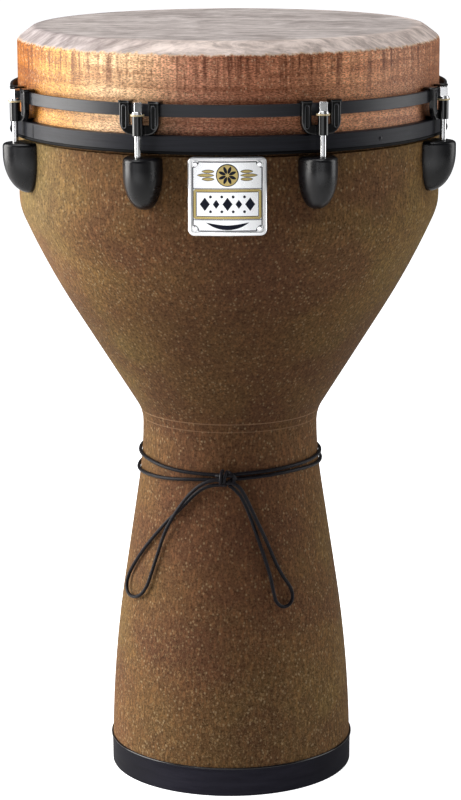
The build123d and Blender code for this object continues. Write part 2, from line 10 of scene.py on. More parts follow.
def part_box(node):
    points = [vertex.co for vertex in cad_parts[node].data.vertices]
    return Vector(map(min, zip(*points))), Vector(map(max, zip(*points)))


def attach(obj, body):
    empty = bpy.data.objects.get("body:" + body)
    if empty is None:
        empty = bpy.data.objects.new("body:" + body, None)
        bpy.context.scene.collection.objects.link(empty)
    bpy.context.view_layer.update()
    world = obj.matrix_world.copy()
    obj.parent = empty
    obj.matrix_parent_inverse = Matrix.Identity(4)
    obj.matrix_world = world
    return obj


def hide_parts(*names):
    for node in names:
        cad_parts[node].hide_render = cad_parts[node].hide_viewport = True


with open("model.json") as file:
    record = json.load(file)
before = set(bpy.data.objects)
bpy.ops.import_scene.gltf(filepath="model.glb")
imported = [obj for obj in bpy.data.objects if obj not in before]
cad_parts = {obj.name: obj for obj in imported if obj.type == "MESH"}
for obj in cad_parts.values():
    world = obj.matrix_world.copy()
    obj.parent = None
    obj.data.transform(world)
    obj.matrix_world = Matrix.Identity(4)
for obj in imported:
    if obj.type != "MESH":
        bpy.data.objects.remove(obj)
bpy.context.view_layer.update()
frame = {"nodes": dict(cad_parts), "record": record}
nodes = frame["nodes"]
scene = bpy.context.scene
MM = 0.001

# ------------------------------------------------------------------------------------------------
# Driving sizes, in metres; the lens is in mm. Sections below that work in mm say so. The frame's own
# boxes give the rest.
# ------------------------------------------------------------------------------------------------

CAMERA_AT = (0.0005, -2.308, 0.833)
CAMERA_PITCH = radians(77.43)
CAMERA_ROLL = radians(-0.24)
CAMERA_LENS = 124.9

FILM_CORNER_R = (0.148, 0.162)
PRINT_EDGE_Z = 0.6278
NECK_LINE_Z = (0.3142, 0.3072)

CORD_D = 3.0 * MM
BRAID_STEP = 0.00045
BRAID_LEAD = 0.0075
BRAID_STRANDS = 4
BRAID_DEPTH = 0.14


# ------------------------------------------------------------------------------------------------
# Small helpers
# ------------------------------------------------------------------------------------------------


def link(obj):
    scene.collection.objects.link(obj)
    return obj


def mesh_object(name, verts, faces, material, smooth=True):
    """A mesh piece from lists of points and faces."""
    data = bpy.data.meshes.new(name)
    data.from_pydata([tuple(v) for v in verts], [], faces)
    data.validate()
    for polygon in data.polygons:
        polygon.use_smooth = smooth
    data.materials.append(material)
    return link(bpy.data.objects.new(name, data))


def joined(parts):
    """One list of points and one of faces, from several."""
    verts, faces = [], []
    for part_verts, part_faces in parts:
        first = len(verts)
        verts += part_verts
        faces += [tuple(first + k for k in face) for face in part_faces]
    return verts, faces


def loft_loops(loops, closed_section):
    """Faces between loops of equal length, and from the last back to the first if it is closed."""
    count = len(loops[0])
    faces = []
    for i in range(len(loops) if closed_section else len(loops) - 1):
        a, b = i * count, ((i + 1) % len(loops)) * count
        for j in range(count):
            k = (j + 1) % count
            faces.append((a + j, a + k, b + k, b + j))
    return faces


def lofted(loops, closed_section=False):
    return [v for loop in loops for v in loop], loft_loops(loops, closed_section)


def running_length(points):
    """The distance along a line to each of its points."""
    return np.concatenate(([0], np.cumsum(np.linalg.norm(np.diff(points, axis=0), axis=1))))


class Nodes:
    """Builds a material's node tree in short statements."""

    def __init__(self, name):
        self.material = bpy.data.materials.new(name)
        self.material.use_nodes = True
        self.tree = self.material.node_tree
        self.tree.nodes.clear()
        self.shader = self.add("ShaderNodeBsdfPrincipled")
        out = self.add("ShaderNodeOutputMaterial")
        self.join(self.shader.outputs[0], out.inputs["Surface"])
        self.object = self.add("ShaderNodeTexCoord").outputs["Object"]

    def add(self, kind, **settings):
        node = self.tree.nodes.new(kind)
        for key, value in settings.items():
            setattr(node, key, value)
        return node

    def join(self, source, target):
        self.tree.links.new(source, target)

    def set(self, **values):
        """Plain values on the shader's own sockets."""
        names = {
            "color": "Base Color", "metallic": "Metallic", "rough": "Roughness",
            "coat": "Coat Weight", "coat_rough": "Coat Roughness", "sheen": "Sheen Weight",
            "sheen_rough": "Sheen Roughness", "specular": "Specular IOR Level",
        }
        for key, value in values.items():
            self.shader.inputs[names[key]].default_value = value

    def scaled(self, scale):
        """Object coordinates stretched by a scale for each axis."""
        node = self.add("ShaderNodeMapping")
        node.inputs["Scale"].default_value = scale
        self.join(self.object, node.inputs["Vector"])
        return node.outputs[0]

    def noise(self, scale, detail=4.0, rough=0.55, distortion=0.0):
        """Noise at one scale, or at a scale for each axis."""
        node = self.add("ShaderNodeTexNoise")
        stretched = isinstance(scale, tuple)
        node.inputs["Scale"].default_value = 1.0 if stretched else scale
        node.inputs["Detail"].default_value = detail
        node.inputs["Roughness"].default_value = rough
        node.inputs["Distortion"].default_value = distortion
        self.join(self.scaled(scale) if stretched else self.object, node.inputs["Vector"])
        return node.outputs["Fac"]

    def cells(self, scale, stretch=None):
        """Distance to the nearest of scattered points."""
        node = self.add("ShaderNodeTexVoronoi")
        node.inputs["Scale"].default_value = scale
        self.join(self.scaled(stretch) if stretch else self.object, node.inputs["Vector"])
        return node.outputs["Distance"]

    def ramp(self, source, *stops, smooth=False):
        """A colour ramp from (position, colour) stops; a single number is a grey."""
        node = self.add("ShaderNodeValToRGB")
        ramp = node.color_ramp
        if smooth:
            ramp.interpolation = "EASE"
        while len(ramp.elements) < len(stops):
            ramp.elements.new(0.5)
        for element, (position, colour) in zip(ramp.elements, stops):
            element.position = position
            element.color = (colour,) * 3 + (1,) if isinstance(colour, (int, float)) else (*colour, 1)
        self.join(source, node.inputs["Fac"])
        return node.outputs["Color"]

    def mix(self, share, first, second, blend="MIX"):
        """Mixes two colours; a share or a colour may be a socket or a value."""
        node = self.add("ShaderNodeMix", data_type="RGBA", blend_type=blend)
        sockets = (node.inputs[0], node.inputs[6], node.inputs[7])
        for socket, value in zip(sockets, (share, first, second)):
            if isinstance(value, (int, float)):
                socket.default_value = value
            elif isinstance(value, tuple):
                socket.default_value = (*value, 1)
            else:
                self.join(value, socket)
        return node.outputs[2]

    def tinted(self, share, colour, tint):
        """A colour multiplied by a tint, as far as the share says."""
        return self.mix(share, colour, self.mix(1.0, colour, tint, "MULTIPLY"))

    def math(self, operation, *values):
        node = self.add("ShaderNodeMath", operation=operation)
        for socket, value in zip(node.inputs, values):
            if isinstance(value, (int, float)):
                socket.default_value = value
            else:
                self.join(value, socket)
        return node.outputs[0]

    def spread(self, source, low, high, new_low=0.0, new_high=1.0, smooth=False):
        """Maps a value from one range to another, clamped."""
        node = self.add("ShaderNodeMapRange")
        if smooth:
            node.interpolation_type = "SMOOTHSTEP"
        names = ("From Min", "From Max", "To Min", "To Max")
        for key, value in zip(names, (low, high, new_low, new_high)):
            node.inputs[key].default_value = value
        self.join(source, node.inputs["Value"])
        return node.outputs["Result"]

    def times(self, *values):
        product = values[0]
        for value in values[1:]:
            product = self.math("MULTIPLY", product, value)
        return product

    def absolute(self, value):
        return self.math("ABSOLUTE", value)

    def line(self, value, place, outer, inner):
        """1 within the inner distance of a place, falling to 0 at the outer one."""
        return self.spread(self.absolute(self.math("SUBTRACT", value, place)), outer, inner)

    def axes(self):
        node = self.add("ShaderNodeSeparateXYZ")
        self.join(self.object, node.inputs[0])
        return node.outputs

    def base(self, colour):
        self.join(colour, self.shader.inputs["Base Color"])

    def roughness(self, value):
        self.join(value, self.shader.inputs["Roughness"])

    def bump(self, height, distance, strength=1.0):
        """Bump in metres, on top of any bump set before."""
        node = self.add("ShaderNodeBump")
        node.inputs["Strength"].default_value = strength
        node.inputs["Distance"].default_value = distance
        self.join(height, node.inputs["Height"])
        if self.shader.inputs["Normal"].links:
            self.join(self.shader.inputs["Normal"].links[0].from_socket, node.inputs["Normal"])
        self.join(node.outputs[0], self.shader.inputs["Normal"])


# ------------------------------------------------------------------------------------------------
# Materials
# ------------------------------------------------------------------------------------------------


def earth_finish():
    """Speckled earth: brown, russet and olive clouds under a coat of gold and cream flecks, with painted
    sheen and shade.
    """
    m = Nodes("earth_finish")
    x, y, z = m.axes()
    clouds = m.noise(5.5, 4.0, 0.55)
    russet = m.noise((11.0, 11.0, 15.4), 3.0, 0.5)
    brown, umber, olive = (0.165, 0.078, 0.038), (0.18, 0.1, 0.04), (0.185, 0.122, 0.045)
    ground = m.ramp(clouds, (0.36, brown), (0.48, umber), (0.62, olive))
    ground = m.mix(m.spread(russet, 0.48, 0.64, 0.0, 0.6), ground, (0.12, 0.054, 0.031))
    # Painted sheen: the far left side is washed paler and bluer.
    left = m.spread(x, -0.10, -0.165, smooth=True)
    ground = m.tinted(left, ground, (1.22, 1.28, 1.5))
    # Darker and redder in front and behind: part the finish's redder cloud, part painted shade between the
    # side lights.
    front = m.spread(m.absolute(x), 0.13, 0.02, smooth=True)
    ground = m.mix(m.times(front, 0.5), ground, (0.098, 0.043, 0.025))
    grain = m.noise(520.0, 4.0, 0.65)
    grey_grain = m.ramp(grain, (0.34, 0.42), (0.5, 0.85), (0.64, 1.0))
    ground = m.mix(1.0, ground, grey_grain, "MULTIPLY")
    nap = m.noise((420.0, 420.0, 130.0), 4.0, 0.6)
    ground = m.tinted(m.spread(nap, 0.48, 0.64, 0.0, 0.5), ground, (2.2, 2.1, 1.85))
    # Flecks, stronger towards the foot.
    fleck = m.spread(m.cells(300.0, (1.0, 1.0, 0.8)), 0.34, 0.15)
    flecks = m.times(fleck, m.spread(m.noise(120.0, 2.0, 0.6), 0.44, 0.54))
    low = m.spread(z, 0.2, 0.05, 0.42, 0.5, smooth=True)
    flecked = m.mix(m.times(flecks, low), ground, (0.44, 0.32, 0.18))
    worms = m.spread(m.noise((430.0, 430.0, 360.0), 3.0, 0.7, 1.2), 0.54, 0.64)
    near_foot = m.spread(z, 0.22, 0.06, 0.08, 0.42, smooth=True)
    flecked = m.mix(m.times(worms, near_foot), flecked, (0.4, 0.27, 0.13))
    cream = m.times(m.spread(m.cells(110.0), 0.085, 0.045), m.spread(m.noise(60.0), 0.5, 0.56))
    flecked = m.mix(m.times(cream, 0.35), flecked, (0.55, 0.42, 0.28))
    pits = m.times(m.spread(m.cells(310.0), 0.2, 0.1), m.spread(m.noise(170.0), 0.5, 0.58))
    flecked = m.mix(m.times(pits, low), flecked, (0.02, 0.01, 0.006))
    # Painted shade: the flank above the throat faces down and is painted darker.
    flank = m.times(m.spread(z, 0.29, 0.325, smooth=True), m.spread(z, 0.46, 0.40, smooth=True))
    flecked = m.tinted(m.times(flank, 0.3), flecked, (0.35, 0.32, 0.34))
    # Two faint turned lines where the neck meets the bowl.
    upper, lower = (m.line(z, place, 0.0006, 0.0002) for place in NECK_LINE_Z)
    lines = m.math("MAXIMUM", upper, m.times(lower, 0.7))
    m.base(m.mix(m.times(lines, 0.45), flecked, (0.36, 0.22, 0.13)))
    m.roughness(m.spread(grain, 0.2, 0.8, 0.55, 0.8))
    m.set(specular=0.05)
    m.bump(grain, 0.0004, 0.9)
    m.bump(flecks, 0.00025, 0.6)
    m.bump(lines, 0.0003, 0.6)
    return m.material


def shell_inside():
    """The bare wound wall inside the shell, seen from below."""
    m = Nodes("shell_inside")
    wound = m.noise((30.0, 30.0, 420.0), 5.0, 0.6)
    m.base(m.ramp(wound, (0.3, (0.16, 0.11, 0.07)), (0.7, (0.24, 0.17, 0.11))))
    m.set(rough=0.8)
    m.bump(wound, 0.0005)
    return m.material


def hide_print(m, x, y, streak):
    """Grey goat hide: streaks, fibres, blotches and a mottle, with painted light and shade where the film
    turns down.
    """
    dark, middle, pale = (0.34, 0.29, 0.28), (0.48, 0.42, 0.405), (0.66, 0.59, 0.57)
    fine = m.noise((75.0, 240.0, 75.0), 6.0, 0.65, 0.4)
    blotch = m.noise(16.0, 5.0, 0.6)
    mottle = m.noise((38.0, 95.0, 38.0), 6.0, 0.7, 0.6)
    hide = m.ramp(streak, (0.34, dark), (0.48, middle), (0.72, pale))
    hide = m.mix(m.spread(fine, 0.42, 0.6, 0.0, 0.7), hide, (0.72, 0.65, 0.62))
    hide = m.mix(m.spread(blotch, 0.5, 0.7, 0.0, 0.4), hide, (0.3, 0.25, 0.235))
    hide = m.mix(m.spread(mottle, 0.5, 0.34, 0.0, 0.8), hide, (0.25, 0.21, 0.2))
    hide = m.mix(m.spread(mottle, 0.52, 0.66, 0.0, 0.75), hide, (0.8, 0.73, 0.71))
    # Where the film turns down it is painted lighter in front, as a highlight, and painted darker towards
    # the light, as shade.
    radius = m.math("SQRT", m.math("ADD", m.times(x, x), m.times(y, y)))
    rim = m.spread(radius, *FILM_CORNER_R, smooth=True)
    towards = m.spread(x, -0.15, -0.02, smooth=True)
    away = m.spread(x, -0.02, -0.15, smooth=True)
    hide = m.tinted(m.times(rim, towards), hide, (1.35, 1.28, 1.22))
    return m.tinted(m.times(rim, away), hide, (0.8, 0.78, 0.8))


def collar_print(m, x, z, fibres):
    """Amber, redder towards the front, under a dense web of light and dark fibres; the amber carries
    painted light and shade across it.
    """
    # Painted light: palest left of the front and lighter again on the right; painted shade darker in front
    # and at both edges.
    amber = m.ramp(
        m.spread(x, -0.175, 0.175),
        (0.03, (0.34, 0.11, 0.01)), (0.11, (0.6, 0.29, 0.06)), (0.25, (0.86, 0.57, 0.3)),
        (0.43, (0.52, 0.23, 0.125)), (0.55, (0.44, 0.172, 0.083)), (0.8, (0.62, 0.28, 0.125)),
        (0.97, (0.43, 0.19, 0.088)), smooth=True,
    )
    below = m.spread(z, 0.582, 0.572, smooth=True)
    amber = m.tinted(below, amber, (1.13, 1.17, 1.24))
    cloud = m.noise((14.0, 14.0, 30.8), 4.0, 0.6)
    amber = m.tinted(m.spread(cloud, 0.5, 0.7, 0.0, 0.5), amber, (0.8, 0.66, 0.55))
    bands = m.noise((9.0, 9.0, 150.0), 5.0, 0.65)
    amber = m.tinted(m.spread(bands, 0.46, 0.6, 0.0, 0.8), amber, (0.64, 0.52, 0.45))
    amber = m.tinted(m.spread(bands, 0.46, 0.36, 0.0, 0.6), amber, (1.2, 1.22, 1.25))
    dark = m.mix(1.0, amber, (0.42, 0.33, 0.3), "MULTIPLY")
    light = m.mix(1.0, amber, (1.5, 1.55, 1.7), "MULTIPLY")
    amber = m.mix(m.spread(fibres, 0.4, 0.59), dark, light)
    dashes = m.spread(m.cells(1.0, (380.0, 380.0, 230.0)), 0.28, 0.12)
    amber = m.mix(m.times(dashes, 0.45), amber, (0.9, 0.62, 0.38))
    # Upright runs, strongest near the top of the collar.
    tall = m.noise((260.0, 260.0, 16.0), 4.0, 0.65)
    high = m.spread(z, 0.592, 0.622, 0.18, 1.0, smooth=True)
    amber = m.tinted(m.times(m.spread(tall, 0.5, 0.62), high), amber, (1.42, 1.46, 1.52))
    return m.tinted(m.times(m.spread(tall, 0.49, 0.36), high), amber, (0.4, 0.3, 0.28))


def head_film():
    """The printed film: hide on top and amber down the collar, parted by a ragged tan line."""
    m = Nodes("head_film")
    x, y, z = m.axes()
    streak = m.noise((7.0, 30.0, 7.0), 7.0, 0.62, 0.8)
    fibres = m.noise((430.0, 430.0, 1150.0), 5.0, 0.75)
    fringe = m.noise((260.0, 260.0, 40.0), 5.0, 0.7)
    edge = m.math("ADD", z, m.spread(fringe, 0.3, 0.7, -0.0016, 0.0016))
    on_top = m.spread(edge, PRINT_EDGE_Z - 0.0006, PRINT_EDGE_Z + 0.0006)
    printed = m.mix(on_top, collar_print(m, x, z, fibres), hide_print(m, x, y, streak))
    tan_line = m.line(edge, PRINT_EDGE_Z, 0.0009, 0.0002)
    m.base(m.mix(m.times(tan_line, 0.6), printed, (0.75, 0.55, 0.36)))
    m.roughness(m.spread(fibres, 0.3, 0.7, 0.42, 0.62))
    m.set(specular=0.3)
    m.bump(fibres, 0.00018, 0.6)
    m.bump(streak, 0.0004, 0.3)
    return m.material


def film_back():
    """The film's plain milky back, seen from inside the drum."""
    m = Nodes("film_back")
    mottle = m.noise(40.0, 5.0, 0.6)
    m.base(m.ramp(mottle, (0.35, (0.5, 0.45, 0.38)), (0.65, (0.6, 0.55, 0.48))))
    m.set(rough=0.5, specular=0.3)
    m.bump(m.noise(500.0, 3.0), 0.00008, 0.5)
    return m.material


def black_band(name, specular, rough):
    """Satin black powder coat with faint rolling marks round the hoop."""
    m = Nodes(name)
    rolled = m.noise((25.0, 25.0, 900.0), 6.0, 0.6)
    speck = m.noise(900.0, 4.0, 0.65)
    m.base(m.ramp(rolled, (0.35, (0.009, 0.0095, 0.0135)), (0.65, (0.016, 0.017, 0.0235))))
    m.roughness(m.spread(speck, 0.3, 0.7, rough - 0.06, rough + 0.06))
    m.set(specular=specular)
    m.bump(speck, 0.00009, 0.6)
    m.bump(rolled, 0.00008, 0.5)
    return m.material


def coated_black(name, rough_low, rough_high, tint, specular=0.6):
    """Black enamel over a casting, with orange peel at a fine scale."""
    m = Nodes(name)
    peel = m.noise(700.0, 3.0, 0.55)
    wear = m.noise(60.0, 5.0, 0.65)
    m.base(m.mix(m.spread(wear, 0.4, 0.75, 0.0, 0.5), tint, tuple(2.2 * c for c in tint)))
    m.roughness(m.spread(wear, 0.3, 0.7, rough_low, rough_high))
    m.set(specular=specular)
    m.bump(peel, 0.00006, 0.4)
    return m.material


def chrome():
    """Bright plating under a slight haze."""
    m = Nodes("chrome")
    haze = m.noise(300.0, 4.0, 0.6)
    m.base(m.ramp(haze, (0.3, (0.64, 0.64, 0.65)), (0.7, (0.78, 0.78, 0.78))))
    m.roughness(m.spread(haze, 0.3, 0.7, 0.12, 0.24))
    m.set(metallic=1.0)
    return m.material


def plain_metal(name, colour, rough):
    """Turned metal, with the tool's marks round it."""
    m = Nodes(name)
    tool = m.noise((500.0, 500.0, 1800.0), 5.0, 0.6)
    m.base(m.mix(m.spread(tool, 0.3, 0.7), tuple(0.8 * c for c in colour), colour))
    m.roughness(m.spread(tool, 0.3, 0.7, rough * 0.8, rough * 1.25))
    m.set(metallic=1.0)
    m.bump(tool, 0.00004, 0.4)
    return m.material


def badge_face(name, colour, metallic):
    """Bright rolled plate under lacquer, with a fine upright brushing."""
    m = Nodes(name)
    brushed = m.noise((1600.0, 1600.0, 60.0), 4.0, 0.6)
    m.base(m.mix(m.spread(brushed, 0.3, 0.7), tuple(0.94 * c for c in colour), colour))
    m.roughness(m.spread(brushed, 0.3, 0.7, 0.26, 0.34))
    m.set(metallic=metallic, coat=0.3, coat_rough=0.1)
    m.bump(brushed, 0.00002, 0.3)
    return m.material


def nylon():
    """Pale moulded nylon, yellowed a little."""
    m = Nodes("nylon")
    cast = m.noise(400.0, 3.0, 0.5)
    m.base(m.ramp(cast, (0.3, (0.6, 0.47, 0.25)), (0.7, (0.75, 0.62, 0.38))))
    m.set(rough=0.35, specular=0.5)
    return m.material


def foot_rubber():
    """Black rubber, scuffed round the ring, with painted light making it lighter in front and behind, and
    painted shade darker on the left.
    """
    m = Nodes("foot_rubber")
    x, y, z = m.axes()
    speck = m.noise(800.0, 4.0, 0.6)
    scuff = m.noise((18.0, 18.0, 160.0), 5.0, 0.65)
    black = m.ramp(scuff, (0.35, (0.011, 0.0108, 0.016)), (0.7, (0.018, 0.018, 0.025)))
    # Painted light: lighter in front and behind.
    black = m.tinted(m.spread(m.absolute(x), 0.085, 0.03, smooth=True), black, (1.55, 1.5, 1.6))
    # Painted shade: darker on the left.
    m.base(m.tinted(m.spread(x, -0.06, -0.1, smooth=True), black, (0.7, 0.7, 0.7)))
    m.roughness(m.spread(scuff, 0.3, 0.7, 0.45, 0.6))
    m.set(specular=0.07)
    m.bump(speck, 0.00012, 0.6)
    return m.material


def cord_braid():
    """Black polyester braid with a short fuzz."""
    m = Nodes("cord_braid")
    fuzz = m.noise(1500.0, 4.0, 0.7)
    m.base(m.ramp(fuzz, (0.3, (0.003, 0.0025, 0.004)), (0.75, (0.012, 0.011, 0.016))))
    m.set(rough=0.42, sheen=0.03, sheen_rough=0.4, specular=0.15)
    m.bump(fuzz, 0.00015, 0.7)
    return m.material


EARTH = earth_finish()
HEAD = head_film()
BAND = black_band("tension_band", 0.45, 0.38)
LOWER_BAND = black_band("flesh_band", 0.2, 0.42)
LUG_BLACK = coated_black("lug_black", 0.24, 0.34, (0.0055, 0.0055, 0.007), 0.4)
GLOSS_BLACK = coated_black("gloss_black", 0.07, 0.14, (0.003, 0.003, 0.0035), 0.7)
# Very dark and dull: the seam's dark joint, and painted shade on the lower band's lip.
SEAM_AND_SHADE_BLACK = coated_black("seam_and_shade_black", 0.4, 0.6, (0.002, 0.002, 0.0025), 0.08)
# A lighter grey than the other blacks, for the slot rims: painted highlight along their edges.
SLOT_RIM_HIGHLIGHT_GREY = coated_black("slot_rim_painted_highlight", 0.2, 0.3, (0.05, 0.052, 0.058))
CHROME = chrome()
STEEL = plain_metal("zinc_steel", (0.55, 0.56, 0.58), 0.35)
NUT_BRASS = plain_metal("nut_brass", (0.62, 0.45, 0.2), 0.3)
BADGE_SILVER = badge_face("badge_silver", (0.985, 0.99, 1.0), 1.0)
BADGE_GOLD = badge_face("badge_gold", (0.52, 0.4, 0.15), 0.9)
BADGE_INK = coated_black("badge_ink", 0.4, 0.5, (0.012, 0.014, 0.026), 0.1)
WOUND = shell_inside()
FILM_BACK = film_back()
NYLON = nylon()
RUBBER = foot_rubber()
BRAID = cord_braid()

finishes = {
    "shell": EARTH, "head_film": HEAD, "black_band": BAND, "bracket_black": GLOSS_BLACK,
    "lug_black": LUG_BLACK, "rod_chrome": CHROME, "nylon": NYLON, "nut": NUT_BRASS, "screw": STEEL,
    "rubber": RUBBER, "badge": BADGE_SILVER, "nail": CHROME, "cord": BRAID,
}
for part in frame["record"]["subparts"]:
    data = nodes[part["node"]].data
    data.materials.clear()
    data.materials.append(finishes[part["material_slot"]])


def line_inside(name, material):
    """Gives the faces that look inwards or down a finish of their own."""
    data = nodes[name].data
    data.materials.append(material)
    for face in data.polygons:
        outward = face.normal.x * face.center.x + face.normal.y * face.center.y
        if outward < -0.01 or face.normal.z < -0.9:
            face.material_index = 1


nodes["flesh_hoop"].data.materials[0] = LOWER_BAND
line_inside("shell_bowl", WOUND)
line_inside("shell_stem", WOUND)
line_inside("drumhead", FILM_BACK)


# ------------------------------------------------------------------------------------------------
# Waist cord. Routes repeat the CAD model's: (azimuth in degrees, height in mm, distance in mm of
# the cord's centre from the shell's skin).
# ------------------------------------------------------------------------------------------------

LIFT = 2.9

WAIST_UPPER = [
    (-5, 271.8, LIFT), (-22, 271.9, LIFT), (-42, 273.0, LIFT), (-62, 275.6, LIFT), (-82, 276.6, LIFT),
    (-102, 277.6, LIFT), (-122, 278.6, LIFT), (-142, 279.4, LIFT), (-162, 279.7, LIFT), (-182, 279.3, LIFT),
    (-202, 278.6, LIFT), (-222, 277.6, LIFT), (-242, 276.4, LIFT), (-262, 275.6, LIFT), (-282, 275.7, LIFT),
    (-302, 275.2, LIFT), (-322, 274.6, LIFT), (-342, 273.4, LIFT), (-360, 272.2, LIFT),
]
WAIST_LOWER = [
    (-5, 268.0, LIFT), (-22, 267.2, LIFT), (-42, 264.2, LIFT), (-62, 263.2, LIFT), (-82, 261.6, LIFT),
    (-102, 262.2, LIFT), (-122, 263.6, LIFT), (-142, 265.6, LIFT), (-162, 267.2, LIFT), (-182, 268.6, LIFT),
    (-202, 269.2, LIFT), (-222, 269.0, LIFT), (-242, 268.8, LIFT), (-262, 269.4, LIFT), (-282, 268.6, LIFT),
    (-302, 270.2, LIFT), (-322, 270.6, LIFT), (-342, 269.4, LIFT), (-360, 268.3, LIFT),
]
LOOP_LEFT = [
    (-2.0, 264.6, 6.6), (-8.5, 264.4, 4.8), (-15.0, 261.6, 3.4), (-21.3, 255.4, 2.7), (-27.0, 246.8, 2.5),
    (-32.0, 239.2, 2.5), (-37.8, 231.5, 2.5), (-44.6, 220.5, 2.5), (-51.0, 210.0, 2.5), (-57.6, 198.5, 2.6),
    (-63.6, 187.0, 2.8), (-68.8, 176.0, 3.1), (-70.6, 167.6, 3.4), (-68.8, 161.0, 3.6), (-63.8, 158.0, 3.7),
    (-57.6, 159.2, 3.7), (-52.2, 164.0, 3.5), (-48.8, 173.0, 3.2), (-46.6, 186.0, 2.8), (-43.9, 200.5, 2.8),
    (-40.8, 214.5, 3.8), (-37.2, 226.0, 5.4), (-33.0, 236.5, 6.4), (-28.6, 246.5, 6.8), (-23.2, 256.6, 7.0),
    (-17.0, 264.6, 7.4), (-10.5, 268.8, 7.8), (-3.5, 269.8, 8.0),
]
LOOP_RIGHT = [
    (-1.5, 268.2, 8.0), (4.2, 265.2, 7.6), (8.2, 256.5, 6.8), (11.4, 245.5, 6.0), (15.0, 233.5, 5.2),
    (19.3, 219.5, 3.8), (23.0, 205.5, 2.8), (26.0, 193.5, 2.6), (29.4, 183.6, 2.8), (32.8, 175.4, 3.1),
    (33.8, 167.6, 3.4), (31.6, 161.0, 3.6), (26.8, 159.6, 3.7), (23.4, 165.0, 3.5), (22.6, 174.0, 3.2),
    (21.6, 185.5, 2.8), (19.6, 198.5, 2.5), (17.0, 211.5, 2.5), (14.3, 224.5, 2.5), (11.4, 237.5, 2.5),
    (8.2, 249.5, 2.6), (4.2, 258.8, 3.4), (-0.8, 264.2, 5.4),
]

# The stem's outside, in mm: an arc at the waist above a cone.
WAIST_R = 73.9
WAIST_Z = 302.0
THROAT_R = 337.0
CONE_ANGLE = radians(8.66)
CONE_TOP_R = WAIST_R + THROAT_R * (1 - cos(CONE_ANGLE))
CONE_TOP_Z = WAIST_Z - THROAT_R * sin(CONE_ANGLE)


def skin_radius(height):
    """Outside radius of the shell, in mm, between the stem's flare and the waist."""
    if height > CONE_TOP_Z:
        return WAIST_R + THROAT_R - sqrt(THROAT_R**2 - (WAIST_Z - height) ** 2)
    return CONE_TOP_R + (CONE_TOP_Z - height) * tan(CONE_ANGLE)


def on_shell(azimuth, height, lift):
    """A point off the shell's skin; azimuth 0 is the front, and grows towards the right."""
    radius = (skin_radius(height) + lift) * MM
    return Vector((radius * sin(radians(azimuth)), -radius * cos(radians(azimuth)), height * MM))


def centreline(name, route):
    """The NURBS line of a route, as evenly read points."""
    curve = bpy.data.curves.new(name + "_line", "CURVE")
    curve.dimensions = "3D"
    spline = curve.splines.new("NURBS")
    spline.points.add(len(route) - 1)
    for point, place in zip(spline.points, route):
        point.co = (*on_shell(*place), 1)
    spline.order_u = 3
    spline.use_endpoint_u = True
    curve.resolution_u = 24
    holder = link(bpy.data.objects.new(name + "_line", curve))
    line = bpy.data.meshes.new_from_object(holder)
    points = [v.co.copy() for v in line.vertices]
    bpy.data.objects.remove(holder)
    bpy.data.meshes.remove(line)
    return points


def resampled(points, step):
    """The same line with points a fixed step apart."""
    pts = np.array([tuple(p) for p in points])
    run = running_length(pts)
    count = max(2, int(round(run[-1] / step)))
    at = np.linspace(0, run[-1], count + 1)
    return np.stack([np.interp(at, run, pts[:, k]) for k in range(3)], 1), run[-1]


def braided_tube(name, points, radius, material, around=24):
    """A round tube with a braid pressed into its surface: crowns of crossing strands."""
    line, length = resampled(points, BRAID_STEP)
    tangent = np.gradient(line, axis=0)
    tangent /= np.linalg.norm(tangent, axis=1)[:, None]
    side = np.cross(tangent[0], (0, 0, 1.0))
    sides = []
    for t in tangent:
        side = side - t * np.dot(side, t)
        side /= np.linalg.norm(side)
        sides.append(side.copy())
    sides = np.array(sides)
    ups = np.cross(tangent, sides)
    along = np.arange(len(line))[:, None] * (length / (len(line) - 1))
    turn = np.linspace(0, 2 * pi, around, endpoint=False)[None, :]
    half_twist = BRAID_STRANDS * pi * along / BRAID_LEAD
    first = np.abs(np.cos((BRAID_STRANDS * turn + half_twist) / 2))
    second = np.abs(np.cos((BRAID_STRANDS * turn - half_twist) / 2))
    reach = radius * (1 - BRAID_DEPTH + BRAID_DEPTH * np.maximum(first, second))
    ring = line[:, None, :] + reach[:, :, None] * (
        np.cos(turn)[:, :, None] * sides[:, None, :] + np.sin(turn)[:, :, None] * ups[:, None, :]
    )
    faces = []
    for i in range(len(line) - 1):
        for j in range(around):
            k = (j + 1) % around
            a, b = i * around, (i + 1) * around
            faces.append((a + j, a + k, b + k, b + j))
    faces.append(tuple(range(around - 1, -1, -1)))
    last = (len(line) - 1) * around
    faces.append(tuple(range(last, last + around)))
    return mesh_object(name, ring.reshape(-1, 3), faces, material), length


def waist_cord(name, route, node):
    """One strand or loop of the braid along its route, standing for its CAD tube."""
    points = centreline(name, route)
    tube, length = braided_tube(name, points, CORD_D / 2, BRAID)
    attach(tube, "shell")
    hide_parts(node)


# ------------------------------------------------------------------------------------------------
# The knot: short lengths of the same braid, crossing and tucked as in a half bow.
# Points are (mm to the right, mm up, mm off the shell's skin) from the knot's middle.
# ------------------------------------------------------------------------------------------------

